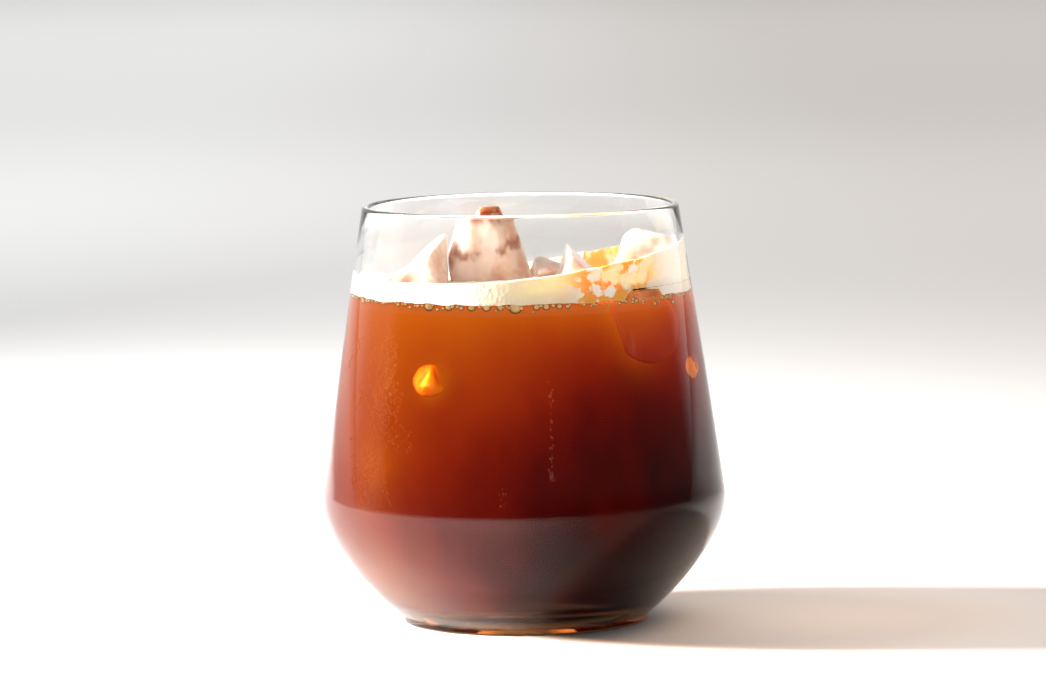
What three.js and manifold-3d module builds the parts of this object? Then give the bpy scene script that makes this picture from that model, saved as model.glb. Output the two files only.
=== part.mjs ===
// Cold brew coffee over broken ice in a stemless glass tumbler.
// Millimetres, +Z up, the origin in the middle of the glass's foot, on the table.
import * as THREE from 'three';
import * as BufferGeometryUtils from 'three/addons/utils/BufferGeometryUtils.js';
import Module from 'manifold-3d';

const wasm = await Module();
wasm.setup();

// Glass: the outside, from the foot up
const HEIGHT = 92;
const FOOT_RADIUS = 25.6;
const FOOT_EASE = { radius: 27.0, height: 0.1 };
const FOOT_CORNER = { radius: 27.2, height: 1.4 };
const PUNT_RADIUS = 17;
const PUNT_DEPTH = 0.6;
const PUNT_SLOPE = 2.5;
const SHOULDER_TOP = 29;
const RIM_RADIUS = 34.75;
const WALL_LEAN = 0.1525;
const BELLY_HANDLES = [
  { radius: 30.4, height: 3.3 },
  { radius: 46.0, height: 18.2 },
];

// Glass: the inside
const WALL = 1.6;
const FLOOR_HEIGHT = 6.0;
const FLOOR_RADIUS = 25.5;
const INNER_HANDLES = [
  { radius: 31.5, height: 6.4 },
  { radius: 43.9, height: 18.6 },
];

// Coffee
const LEVEL = 73.3;
const MENISCUS_RISE = 1.9;
const MENISCUS_WIDTH = 4.4;
const MENISCUS_DECAY = 1.1;
const MENISCUS_STEPS = 5;
const GAP = 0.3;
const ICE_GAP = 0.6;

// Bubbles at the wall: sideways place and diameter of the largest, then a seeded ring of small ones
const LARGE_BUBBLES = [
  { x: -19.9, size: 2.6 }, { x: -15.6, size: 2.0 }, { x: -10.7, size: 2.0 },
  { x: -7.5, size: 2.0 }, { x: -4.5, size: 1.7 }, { x: -1.3, size: 3.5 },
  { x: 3.2, size: 1.7 }, { x: 5.3, size: 1.7 }, { x: 8.1, size: 1.5 },
];
const SMALL_BUBBLES = 12;
const SMALL_BUBBLE_SIZE = [1.2, 1.7];
const SMALL_BUBBLE_SHIFT = [0.2, 0.8];
const BUBBLE_SEED = 29;
const BUBBLE_DIP = 0.35;

// Ice: the middle of each chunk, its half widths before it breaks, and its broken faces,
// each as the way it faces (azimuth from +X towards +Y, elevation) and its distance from the middle
const ICE = [
  {
    name: 'ice_block', at: [-7, 17.5, 71.5], radii: [13, 8.5, 17.5],
    faces: [[60, 84, 14.2], [2, 22, 9.7], [181, 24, 11.2], [266, 6, 6.2], [318, 24, 9.2],
      [88, 2, 6.0], [228, 16, 9.6], [40, -78, 13.0], [183, -8, 8.0]],
  },
  {
    name: 'ice_peak', at: [-7, 28.8, 75], radii: [8.5, 5.5, 15],
    faces: [[270, 10, 4.6], [8, 20, 6.6], [172, 20, 6.8], [80, 78, 13.6], [60, 50, 11.6],
      [150, 56, 12.6], [350, -12, 7.0], [190, -8, 7.2], [268, -20, 4.8], [60, -80, 12.0]],
  },
  {
    name: 'ice_slope', at: [-22, 13, 67.5], radii: [11.5, 11, 18],
    faces: [[188, 49, 9.9], [186, 61, 10.2], [3, 3, 5.8], [262, 14, 7.4], [100, 10, 9.0],
      [30, 70, 16.0], [226, 30, 10.0], [0, -84, 12.0], [318, 30, 9.8]],
  },
  {
    name: 'ice_point', at: [12.5, 12, 72.2], radii: [9, 9, 12],
    faces: [[186, 22, 4.3], [358, 55, 5.3], [270, 34, 8.2], [86, 26, 8.0], [182, -12, 6.6],
      [4, -6, 6.0], [300, 5, 7.6], [20, -82, 10.4]],
  },
  {
    name: 'ice_wall', at: [29, 5, 74], radii: [10.5, 13, 14],
    faces: [[176, 24, 8.9], [265, 46, 10.2], [60, 62, 12.0], [186, 62, 9.5], [270, 4, 10.6],
      [92, 8, 11.2], [182, -14, 8.6], [10, -82, 12.2], [325, 55, 11.0], [40, 80, 9.6]],
  },
  {
    name: 'ice_front', at: [21.5, -20, 67.5], radii: [12, 10.5, 11.5],
    faces: [[250, 72, 9.3], [180, 20, 8.8], [20, 34, 9.8], [85, 12, 7.6], [268, -6, 9.6],
      [140, 52, 9.6], [10, -80, 9.4], [330, 60, 10.0]],
  },
  {
    name: 'ice_back', at: [6.8, 28, 68.5], radii: [9, 6.5, 9.5],
    faces: [[268, 50, 7.6], [196, 4, 4.0], [5, 20, 5.6], [20, 74, 7.9], [270, -10, 5.4],
      [80, -76, 8.0]],
  },
];

// Mesh fineness
const TURN_STEPS = 64;
const CURVE_STEPS = 8;
const ICE_STEPS = 16;
const ICE_RINGS = 9;
const BUBBLE_DETAIL = 1;
const WELD_DISTANCE = 1e-4;

// Steps of the seeded random numbers
const RANDOM_FACTOR = 1664525;
const RANDOM_STEP = 1013904223;
const RANDOM_RANGE = 2 ** 32;

/** A point of a revolved outline: radius across, height up. */
function point(radius, height) {
  return new THREE.Vector2(radius, height);
}

/** Outer radius of the leaning wall at a height above the shoulder. */
function wallRadius(height) {
  return RIM_RADIUS + WALL_LEAN * (HEIGHT - height);
}

/** Turns an outline of (radius, height) points round the Z axis. */
function revolve(points) {
  const geometry = new THREE.LatheGeometry(points, TURN_STEPS);
  geometry.rotateX(Math.PI / 2);
  return geometry;
}

/** A closed geometry as a solid that can be joined and cut. */
function toSolid(geometry) {
  const bare = geometry.clone();
  bare.deleteAttribute('normal');
  bare.deleteAttribute('uv');
  const merged = BufferGeometryUtils.mergeVertices(bare, WELD_DISTANCE);
  const corners = merged.index.array;
  const kept = [];
  for (let i = 0; i < corners.length; i += 3) {
    const [a, b, c] = [corners[i], corners[i + 1], corners[i + 2]];
    if (a !== b && b !== c && c !== a) kept.push(a, b, c);
  }
  return new wasm.Manifold(new wasm.Mesh({
    numProp: 3,
    vertProperties: new Float32Array(merged.attributes.position.array),
    triVerts: new Uint32Array(kept),
  }));
}

/** The triangles of a solid as a geometry. */
function toGeometry(solid) {
  const mesh = solid.getMesh();
  const geometry = new THREE.BufferGeometry();
  geometry.setAttribute('position', new THREE.BufferAttribute(mesh.vertProperties, 3));
  geometry.setIndex(new THREE.BufferAttribute(mesh.triVerts, 1));
  geometry.computeVertexNormals();
  return geometry;
}

/** Seeded random numbers from 0 to 1, so that every build is the same. */
function seededRandom(seed) {
  let state = seed >>> 0;
  return () => {
    state = (Math.imul(state, RANDOM_FACTOR) + RANDOM_STEP) >>> 0;
    return state / RANDOM_RANGE;
  };
}

/** Outline of the glass: underside, outside, round rim, inside and floor. */
function glassOutline() {
  const outline = new THREE.Path();
  const [low, high] = BELLY_HANDLES;
  const [innerLow, innerHigh] = INNER_HANDLES;
  const lip = WALL / 2;
  const rimCentre = HEIGHT - lip;
  outline.moveTo(0, PUNT_DEPTH);
  outline.lineTo(PUNT_RADIUS - PUNT_SLOPE, PUNT_DEPTH);
  outline.lineTo(PUNT_RADIUS, 0);
  outline.lineTo(FOOT_RADIUS, 0);
  outline.quadraticCurveTo(FOOT_EASE.radius, FOOT_EASE.height, FOOT_CORNER.radius, FOOT_CORNER.height);
  outline.bezierCurveTo(low.radius, low.height, high.radius, high.height,
    wallRadius(SHOULDER_TOP), SHOULDER_TOP);
  outline.lineTo(wallRadius(rimCentre), rimCentre);
  outline.absarc(wallRadius(rimCentre) - lip, rimCentre, lip, 0, Math.PI, false);
  outline.lineTo(wallRadius(SHOULDER_TOP) - WALL, SHOULDER_TOP);
  outline.bezierCurveTo(innerHigh.radius, innerHigh.height, innerLow.radius, innerLow.height,
    FLOOR_RADIUS, FLOOR_HEIGHT);
  outline.lineTo(0, FLOOR_HEIGHT);
  return outline.getPoints(CURVE_STEPS);
}

/** Outline of the glass's inside up to a height, drawn in by a clearance. */
function insideOutline(top, clearance) {
  const outline = new THREE.Path();
  const [low, high] = INNER_HANDLES;
  const inward = WALL + clearance;
  outline.moveTo(0, FLOOR_HEIGHT + clearance);
  outline.lineTo(FLOOR_RADIUS - clearance, FLOOR_HEIGHT + clearance);
  outline.bezierCurveTo(low.radius - clearance, low.height + clearance,
    high.radius - clearance, high.height + clearance,
    wallRadius(SHOULDER_TOP) - inward, SHOULDER_TOP);
  outline.lineTo(wallRadius(top) - inward, top);
  return outline.getPoints(CURVE_STEPS);
}

/** Solid of the space inside the glass, up to a height, drawn in by a clearance. */
function insideSolid(top, clearance) {
  const points = insideOutline(top, clearance);
  points.push(point(0, top));
  return toSolid(revolve(points));
}

/** The coffee before anything is cut from it: its surface climbs the wall in a meniscus. */
function coffeeBody() {
  const top = LEVEL + MENISCUS_RISE;
  const points = insideOutline(top, GAP);
  const edge = wallRadius(top) - WALL - GAP;
  for (let step = 1; step <= MENISCUS_STEPS; step += 1) {
    const inward = MENISCUS_WIDTH * step / MENISCUS_STEPS;
    const rise = step === MENISCUS_STEPS ? 0 : MENISCUS_RISE * Math.exp(-inward / MENISCUS_DECAY);
    points.push(point(edge - inward, LEVEL + rise));
  }
  points.push(point(0, LEVEL));
  return toSolid(revolve(points));
}

/** One bubble on the meniscus, as a small ball at an angle round the glass. */
function bubble(angle, size) {
  const radius = size / 2;
  const geometry = new THREE.IcosahedronGeometry(radius, BUBBLE_DETAIL);
  const reach = wallRadius(LEVEL) - WALL - GAP - radius;
  geometry.translate(reach * Math.cos(angle), reach * Math.sin(angle),
    LEVEL + MENISCUS_RISE / 2 - BUBBLE_DIP);
  return toSolid(geometry);
}

/** The bubbles that sit where the coffee meets the glass, the largest in front. */
function bubbleRing() {
  const random = seededRandom(BUBBLE_SEED);
  const reach = wallRadius(LEVEL) - WALL;
  const solids = LARGE_BUBBLES.map(({ x, size }) => bubble(-Math.acos(x / reach), size));
  const [smallest, largest] = SMALL_BUBBLE_SIZE;
  const [nearest, farthest] = SMALL_BUBBLE_SHIFT;
  for (let i = 0; i < SMALL_BUBBLES; i += 1) {
    const shift = nearest + (farthest - nearest) * random();
    const angle = Math.PI * (i + shift) / SMALL_BUBBLES;
    solids.push(bubble(angle, smallest + (largest - smallest) * random()));
  }
  return solids;
}

/** A chunk of broken ice, grown all round by a clearance: a worn lump with flat broken faces. */
function iceSolid({ at, radii, faces }, grow = 0) {
  const lump = new THREE.SphereGeometry(1, ICE_STEPS, ICE_RINGS);
  lump.scale(...radii.map((radius) => radius + grow));
  let solid = toSolid(lump);
  const reach = 2 * Math.max(...radii);
  for (const [azimuth, elevation, distance] of faces) {
    const level = THREE.MathUtils.degToRad(elevation);
    const turn = THREE.MathUtils.degToRad(azimuth);
    const outward = new THREE.Vector3(
      Math.cos(level) * Math.cos(turn), Math.cos(level) * Math.sin(turn), Math.sin(level));
    const waste = new THREE.BoxGeometry(2 * reach, 2 * reach, reach);
    waste.translate(0, 0, reach / 2 + distance + grow);
    waste.applyQuaternion(new THREE.Quaternion()
      .setFromUnitVectors(new THREE.Vector3(0, 0, 1), outward));
    solid = solid.subtract(toSolid(waste));
  }
  return solid.translate(at);
}

/** The drink as it lies: coffee with its bubbles, cut clear round the ice. */
function coffeeSolid() {
  let solid = coffeeBody();
  for (const ball of bubbleRing()) solid = solid.add(ball);
  solid = solid.intersect(insideSolid(HEIGHT - WALL, GAP));
  for (const chunk of ICE) solid = solid.subtract(iceSolid(chunk, GAP));
  return solid;
}

/** A named mesh with its own material. */
function part(name, geometry, look) {
  const mesh = new THREE.Mesh(geometry, new THREE.MeshStandardMaterial(look));
  mesh.name = name;
  return mesh;
}

/** The empty tumbler. */
function glass() {
  return part('glass', revolve(glassOutline()),
    { color: 0xeef1f0, roughness: 0.03, metalness: 0, transparent: true, opacity: 0.35 });
}

/** The coffee. */
function coffee() {
  return part('coffee', toGeometry(coffeeSolid()), { color: 0x7a2a08, roughness: 0.05, metalness: 0 });
}

/** The chunks of ice that stand out of the coffee. */
function ice() {
  const chunks = new THREE.Group();
  const room = insideSolid(HEIGHT - WALL, ICE_GAP);
  for (const chunk of ICE) {
    chunks.add(part(chunk.name, toGeometry(iceSolid(chunk).intersect(room)),
      { color: 0xf3d9c6, roughness: 0.12, metalness: 0 }));
  }
  return chunks;
}

const group = new THREE.Group();
group.add(glass(), coffee(), ice());

export default group;
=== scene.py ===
"""Cold brew coffee over broken ice in a stemless glass tumbler: the looks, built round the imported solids.

Metres, +Z up, the origin in the middle of the glass's foot, on the table.
"""

import logging
import math
import random
from dataclasses import dataclass
from enum import Enum
from typing import Sequence

import bpy
from mathutils import Matrix, Vector


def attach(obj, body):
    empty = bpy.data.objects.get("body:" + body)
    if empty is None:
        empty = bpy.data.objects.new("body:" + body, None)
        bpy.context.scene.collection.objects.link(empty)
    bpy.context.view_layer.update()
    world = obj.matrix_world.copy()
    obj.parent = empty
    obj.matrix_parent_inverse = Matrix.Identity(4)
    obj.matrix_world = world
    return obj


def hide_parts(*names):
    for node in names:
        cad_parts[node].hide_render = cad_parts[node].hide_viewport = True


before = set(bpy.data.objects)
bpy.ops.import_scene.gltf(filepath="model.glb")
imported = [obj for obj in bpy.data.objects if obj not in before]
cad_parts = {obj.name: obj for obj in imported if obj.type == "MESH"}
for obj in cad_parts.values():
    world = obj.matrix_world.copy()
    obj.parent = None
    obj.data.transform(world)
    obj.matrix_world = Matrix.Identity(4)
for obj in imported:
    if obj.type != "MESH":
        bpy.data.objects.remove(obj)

BODY = "root"
Colour = tuple[float, float, float]
Point = tuple[float, float]
log = logging.getLogger("cold_brew")


class Slot(Enum):
    """The record's material slots."""

    GLASS = "glass"
    COFFEE = "coffee"
    ICE = "ice"


class Cut(Enum):
    """What a closed body leaves of the piece that it cuts."""

    WITHOUT = "DIFFERENCE"
    WITHIN = "INTERSECT"


class Workbench:
    """Modelling moves that every sub-assembly uses."""

    @staticmethod
    def clear_selection() -> None:
        """Leave edit mode and deselect everything."""
        if bpy.context.object is not None and bpy.context.object.mode != "OBJECT":
            bpy.ops.object.mode_set(mode="OBJECT")
        bpy.ops.object.select_all(action="DESELECT")

    @staticmethod
    def pick(piece: bpy.types.Object) -> None:
        """Select one piece alone and make it the active one."""
        Workbench.clear_selection()
        piece.select_set(True)
        bpy.context.view_layer.objects.active = piece

    @staticmethod
    def edit(piece: bpy.types.Object, mode: str = "VERT") -> None:
        """Enter edit mode on a piece with all of it selected.

        Args:
            piece: The piece to edit.
            mode: The kind of element that selection works on.
        """
        Workbench.pick(piece)
        bpy.ops.object.mode_set(mode="EDIT")
        bpy.ops.mesh.select_mode(type=mode)
        bpy.ops.mesh.select_all(action="SELECT")

    @staticmethod
    def take(name: str) -> bpy.types.Object:
        """Name the primitive just added, and put its place into its mesh.

        Args:
            name: The piece's name.

        Returns:
            The piece, with its object at the origin.
        """
        piece = bpy.context.object
        piece.name = name
        piece.data.name = name
        Workbench.pick(piece)
        bpy.ops.object.transform_apply(location=True, rotation=True, scale=True)
        return piece

    @staticmethod
    def close_up(piece: bpy.types.Object, distance: float = 2e-6) -> None:
        """Merge doubled points, then turn all faces outwards.

        Args:
            piece: The piece to mend.
            distance: How near two points lie to count as one.
        """
        Workbench.edit(piece)
        bpy.ops.mesh.remove_doubles(threshold=distance)
        bpy.ops.mesh.normals_make_consistent(inside=False)
        bpy.ops.object.mode_set(mode="OBJECT")

    @staticmethod
    def spin(name: str, outline: Sequence[Point], segments: int) -> bpy.types.Object:
        """Draw an outline point by point and spin it round the upright axis.

        Args:
            name: The piece's name.
            outline: Points as radius and height, closed or with both ends on the axis.
            segments: Steps round the axis.

        Returns:
            The closed round piece.
        """
        Workbench.clear_selection()
        radius, height = outline[0]
        bpy.ops.mesh.primitive_plane_add(size=0.001, location=(radius, 0.0, height))
        piece = Workbench.take(name)
        Workbench.edit(piece)
        bpy.ops.mesh.merge(type="CENTER")
        for (r0, z0), (r1, z1) in zip(outline, outline[1:]):
            step = (r1 - r0, 0.0, z1 - z0)
            bpy.ops.mesh.extrude_region_move(TRANSFORM_OT_translate={"value": step})
        bpy.ops.mesh.select_all(action="SELECT")
        bpy.ops.mesh.spin(steps=segments, angle=math.tau, center=(0, 0, 0), axis=(0, 0, 1))
        bpy.ops.object.mode_set(mode="OBJECT")
        Workbench.close_up(piece)
        return piece

    @staticmethod
    def bisect(piece: bpy.types.Object, at: Vector, outward: Vector) -> None:
        """Cut away what lies on the outer side of a plane, and close the cut.

        Args:
            piece: The piece to cut.
            at: A point of the plane.
            outward: The way towards the waste.
        """
        Workbench.edit(piece)
        bpy.ops.mesh.bisect(plane_co=at, plane_no=outward, use_fill=True, clear_outer=True)
        bpy.ops.object.mode_set(mode="OBJECT")

    @staticmethod
    def apply_modifiers(piece: bpy.types.Object) -> None:
        """Apply a piece's modifiers in order."""
        Workbench.pick(piece)
        for name in [modifier.name for modifier in piece.modifiers]:
            bpy.ops.object.modifier_apply(modifier=name)

    @staticmethod
    def combine(piece: bpy.types.Object, other: bpy.types.Object, cut: Cut) -> None:
        """Change a closed piece by another closed body, and remove that body.

        Args:
            piece: The piece to change.
            other: The body that is used up.
            cut: What becomes of the piece.
        """
        modifier = piece.modifiers.new("cut", "BOOLEAN")
        modifier.operation = cut.value
        modifier.solver = "MANIFOLD"
        modifier.object = other
        Workbench.apply_modifiers(piece)
        bpy.data.objects.remove(other)

    @staticmethod
    def cut_round(piece: bpy.types.Object, cutters: Sequence[bpy.types.Object]) -> None:
        """Subtract closed bodies from a piece, and remove those bodies."""
        for cutter in cutters:
            Workbench.combine(piece, cutter, Cut.WITHOUT)

    @staticmethod
    def keep_within(piece: bpy.types.Object, outline: Sequence[Point], segments: int = 128) -> None:
        """Keep only what of a closed piece lies in a turned room.

        Args:
            piece: The piece.
            outline: The room's outline, from the axis and back to it.
            segments: The room's divisions round.
        """
        Workbench.combine(piece, Workbench.spin("room", outline, segments), Cut.WITHIN)

    @staticmethod
    def block_beyond(at: Vector, outward: Vector, size: float = 0.3) -> bpy.types.Object:
        """Make a large block whose one face lies in a plane, to cut away what is beyond it.

        Args:
            at: A point of the plane.
            outward: The way from the plane into the block.
            size: The block's edge length.

        Returns:
            The block.
        """
        Workbench.clear_selection()
        turn = outward.to_track_quat("Z", "Y").to_euler()
        bpy.ops.mesh.primitive_cube_add(size=size, location=at + outward * size / 2, rotation=turn)
        piece = Workbench.take("block")
        Workbench.close_up(piece)
        return piece

    @staticmethod
    def smooth(piece: bpy.types.Object, degrees: float = 35.0) -> None:
        """Shade a piece smooth except at edges sharper than an angle."""
        Workbench.pick(piece)
        bpy.ops.object.shade_smooth_by_angle(angle=math.radians(degrees))

    @staticmethod
    def scatter(name: str, master: bpy.types.Object, places: Sequence[Matrix]) -> bpy.types.Object:
        """Copy a small master piece to many places and join the copies.

        Args:
            name: The joined piece's name.
            master: The piece that repeats. It is removed.
            places: Where each copy goes, and how large and turned it is.

        Returns:
            One piece that holds every copy.
        """
        copies = []
        for place in places:
            mesh = master.data.copy()
            mesh.transform(place)
            copy = bpy.data.objects.new(name, mesh)
            bpy.context.scene.collection.objects.link(copy)
            copies.append(copy)
        bpy.data.objects.remove(master)
        Workbench.clear_selection()
        for copy in copies:
            copy.select_set(True)
        bpy.context.view_layer.objects.active = copies[0]
        bpy.ops.object.join()
        joined = copies[0]
        joined.name = name
        return joined

    @staticmethod
    def finish(piece: bpy.types.Object, material: bpy.types.Material, slot: Slot) -> bpy.types.Object:
        """Dress a piece and set it on the body.

        Args:
            piece: The finished mesh.
            material: The material for all its faces.
            slot: The record's slot for it; not used.

        Returns:
            The same piece.
        """
        piece.data.materials.clear()
        piece.data.materials.append(material)
        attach(piece, BODY)
        log.info("%s: %d faces", piece.name, len(piece.data.polygons))
        return piece


class Curve:
    """Curves of a revolved outline, as lists of radius and height."""

    @staticmethod
    def cubic(start: Point, low: Point, high: Point, end: Point, steps: int) -> list[Point]:
        """Points of a cubic curve, without its start.

        Args:
            start: Where the curve starts.
            low: Its first handle.
            high: Its second handle.
            end: Where it ends.
            steps: How many points to give.

        Returns:
            The points up to and with the end.
        """
        points = []
        for i in range(1, steps + 1):
            t = i / steps
            weights = ((1 - t) ** 3, 3 * t * (1 - t) ** 2, 3 * t * t * (1 - t), t**3)
            knots = (start, low, high, end)
            points.append(tuple(sum(w * k[axis] for w, k in zip(weights, knots)) for axis in (0, 1)))
        return points

    @staticmethod
    def arc(centre: Point, radius: float, start: float, end: float, steps: int) -> list[Point]:
        """Points of an arc from one angle to another, both ends in.

        Args:
            centre: The arc's middle.
            radius: Its radius.
            start: First angle in degrees, 0 outwards and 90 up.
            end: Last angle in degrees.
            steps: How many stretches it has.

        Returns:
            The points.
        """
        points = []
        for i in range(steps + 1):
            angle = math.radians(start + (end - start) * i / steps)
            points.append((centre[0] + radius * math.cos(angle), centre[1] + radius * math.sin(angle)))
        return points


class NodeDesk:
    """Adds and wires the nodes of one tree."""

    def __init__(self, tree: bpy.types.NodeTree) -> None:
        """Keep the tree that the nodes go into."""
        self.tree = tree

    def add(self, kind: str, **inputs: object) -> bpy.types.Node:
        """Add a node and set its inputs.

        Args:
            kind: The node's class name.
            inputs: Values or sockets, by input name with _ for a space.

        Returns:
            The node.
        """
        node = self.tree.nodes.new(kind)
        for name, value in inputs.items():
            self.put(node.inputs[name.replace("_", " ")], value)
        return node

    def put(self, socket: bpy.types.NodeSocket, value: object) -> None:
        """Link a socket to an output, or set it to a constant."""
        if isinstance(value, bpy.types.NodeSocket):
            self.tree.links.new(value, socket)
        else:
            socket.default_value = value

    def math(self, operation: str, *values: object, clamp: bool = False) -> bpy.types.NodeSocket:
        """Work out one number from others.

        Args:
            operation: The Math node's operation.
            values: Numbers or sockets.
            clamp: Whether the result stays between 0 and 1.

        Returns:
            The result's socket.
        """
        node = self.tree.nodes.new("ShaderNodeMath")
        node.operation = operation
        node.use_clamp = clamp
        for socket, value in zip(node.inputs, values):
            self.put(socket, value)
        return node.outputs[0]

    def span(self, value: object, low: float, high: float,
             to_low: float = 0.0, to_high: float = 1.0) -> bpy.types.NodeSocket:
        """Carry a number from one range into another, easing in and out, and hold it there.

        Args:
            value: The number's socket.
            low: Start of the range it comes from.
            high: End of that range.
            to_low: What the start becomes.
            to_high: What the end becomes.

        Returns:
            The result's socket.
        """
        node = self.tree.nodes.new("ShaderNodeMapRange")
        node.interpolation_type = "SMOOTHSTEP"
        for socket, part in zip(node.inputs, (value, low, high, to_low, to_high)):
            self.put(socket, part)
        return node.outputs[0]

    def blend(self, share: object, first: object, second: object,
              kind: str = "MIX") -> bpy.types.NodeSocket:
        """Mix two colours.

        Args:
            share: How much of the second one shows.
            first: The first colour.
            second: The second colour.
            kind: How they are mixed.

        Returns:
            The mixed colour's socket.
        """
        node = self.tree.nodes.new("ShaderNodeMix")
        node.data_type = "RGBA"
        node.blend_type = kind
        self.put(node.inputs[0], share)
        self.put(node.inputs[6], with_alpha(first))
        self.put(node.inputs[7], with_alpha(second))
        return node.outputs[2]

    def place(self) -> bpy.types.NodeSocket:
        """Give the place on the object, in metres."""
        return self.tree.nodes.new("ShaderNodeTexCoord").outputs["Object"]

    def axes(self, place: bpy.types.NodeSocket) -> tuple[bpy.types.NodeSocket, ...]:
        """Split a place into its three coordinates."""
        return tuple(self.add("ShaderNodeSeparateXYZ", Vector=place).outputs)

    def group(self, group: bpy.types.NodeTree, **inputs: object) -> bpy.types.Node:
        """Place a shared node group with its own values.

        Args:
            group: The group.
            inputs: Values or sockets, by input name.

        Returns:
            The group's node.
        """
        node = self.tree.nodes.new("ShaderNodeGroup")
        node.node_tree = group
        for name, value in inputs.items():
            self.put(node.inputs[name], value)
        return node


def with_alpha(colour: object) -> object:
    """Give a plain colour its fourth number, and leave a socket as it is."""
    return (*colour, 1.0) if isinstance(colour, tuple) and len(colour) == 3 else colour


class SharedEffects:
    """Node groups that more than one finish uses, each built once."""

    grain_scale: float = 2.7
    _mottle: bpy.types.NodeTree | None = None
    _ripple: bpy.types.NodeTree | None = None

    @classmethod
    def mottle(cls) -> bpy.types.NodeTree:
        """Give the soft cloudy patches in coffee, froth and ice.

        Returns:
            A group with Vector, Scale and Contrast that puts out a Mask from 0 to 1.
        """
        if cls._mottle is None:
            sockets = {"Vector": "Vector", "Scale": "Float", "Contrast": "Float"}
            tree = cls.new("mottle", sockets, {"Mask": "Float"})
            desk = NodeDesk(tree)
            inward = tree.nodes.new("NodeGroupInput")
            noise = desk.add("ShaderNodeTexNoise", Vector=inward.outputs["Vector"],
                             Scale=inward.outputs["Scale"], Detail=3.0, Roughness=0.5)
            centred = desk.math("SUBTRACT", noise.outputs[0], 0.5)
            spread = desk.math("MULTIPLY", centred, inward.outputs["Contrast"])
            mask = desk.math("ADD", spread, 0.5, clamp=True)
            desk.put(tree.nodes.new("NodeGroupOutput").inputs["Mask"], mask)
            cls._mottle = tree
        return cls._mottle

    @classmethod
    def ripple(cls) -> bpy.types.NodeTree:
        """Give the small unevenness of a wet or cast surface.

        Returns:
            A group with Vector, Scale and Grain that puts out a Height from 0 to 1.
        """
        if cls._ripple is None:
            sockets = {"Vector": "Vector", "Scale": "Float", "Grain": "Float"}
            tree = cls.new("ripple", sockets, {"Height": "Float"})
            desk = NodeDesk(tree)
            inward = tree.nodes.new("NodeGroupInput")
            broad = desk.add("ShaderNodeTexNoise", Vector=inward.outputs["Vector"],
                             Scale=inward.outputs["Scale"], Detail=2.0)
            cells = desk.add("ShaderNodeTexVoronoi", Vector=inward.outputs["Vector"],
                             Scale=desk.math("MULTIPLY", inward.outputs["Scale"], cls.grain_scale))
            fine = desk.math("MULTIPLY", cells.outputs[0], inward.outputs["Grain"])
            height = desk.math("ADD", broad.outputs[0], fine)
            desk.put(tree.nodes.new("NodeGroupOutput").inputs["Height"], height)
            cls._ripple = tree
        return cls._ripple

    @staticmethod
    def new(name: str, inputs: dict[str, str], outputs: dict[str, str]) -> bpy.types.NodeTree:
        """Make an empty group with its sockets.

        Args:
            name: The group's name.
            inputs: Kind of socket by input name.
            outputs: Kind of socket by output name.

        Returns:
            The group.
        """
        tree = bpy.data.node_groups.new(name, "ShaderNodeTree")
        for in_out, sockets in (("INPUT", inputs), ("OUTPUT", outputs)):
            for socket, kind in sockets.items():
                tree.interface.new_socket(socket, in_out=in_out, socket_type="NodeSocket" + kind)
        return tree


def new_material(name: str) -> tuple[bpy.types.Material, NodeDesk, bpy.types.Node, bpy.types.Node]:
    """Make a material with an empty Principled shader.

    Args:
        name: The material's name.

    Returns:
        The material, the desk of its tree, its shader and its output.
    """
    material = bpy.data.materials.new(name)
    material.use_nodes = True
    material.node_tree.nodes.clear()
    desk = NodeDesk(material.node_tree)
    shader = desk.add("ShaderNodeBsdfPrincipled")
    output = desk.add("ShaderNodeOutputMaterial", Surface=shader.outputs[0])
    return material, desk, shader, output


def let_lamps_through(desk: NodeDesk, shader: bpy.types.Node, output: bpy.types.Node,
                      tint: Colour) -> None:
    """Let light from the lamps pass a clear surface, a little tinted.

    Args:
        desk: The material's desk.
        shader: Its surface shader.
        output: Its output.
        tint: The colour that passes.
    """
    clear = desk.add("ShaderNodeBsdfTransparent", Color=with_alpha(tint))
    mix = desk.tree.nodes.new("ShaderNodeMixShader")
    light_path = desk.tree.nodes.new("ShaderNodeLightPath")
    desk.put(mix.inputs[0], light_path.outputs["Is Shadow Ray"])
    desk.put(mix.inputs[1], shader.outputs[0])
    desk.put(mix.inputs[2], clear.outputs[0])
    desk.put(output.inputs["Surface"], mix.outputs[0])


@dataclass(frozen=True)
class Patches:
    """Soft cloudy patches of one size."""

    scale: float
    contrast: float

    def mask(self, desk: NodeDesk, place: bpy.types.NodeSocket) -> bpy.types.NodeSocket:
        """Give the patches as a mask from 0 to 1."""
        group = SharedEffects.mottle()
        return desk.group(group, Vector=place, Scale=self.scale, Contrast=self.contrast).outputs["Mask"]


@dataclass(frozen=True)
class Relief:
    """The small unevenness of a surface, too fine to model."""

    scale: float
    grain: float
    strength: float
    depth: float

    def normal(self, desk: NodeDesk, place: bpy.types.NodeSocket) -> bpy.types.NodeSocket:
        """Give the uneven surface's normal."""
        height = desk.group(SharedEffects.ripple(), Vector=place, Scale=self.scale, Grain=self.grain)
        bump = desk.add("ShaderNodeBump", Height=height.outputs["Height"], Strength=self.strength,
                        Distance=self.depth)
        return bump.outputs[0]


@dataclass(frozen=True)
class Scatter:
    """How light spreads under a cloudy surface."""

    weight: float
    radius: Colour
    depth: float

    def put(self, desk: NodeDesk, shader: bpy.types.Node) -> None:
        """Set the spread on a shader."""
        desk.put(shader.inputs["Subsurface Weight"], self.weight)
        desk.put(shader.inputs["Subsurface Radius"], self.radius)
        desk.put(shader.inputs["Subsurface Scale"], self.depth)


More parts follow.
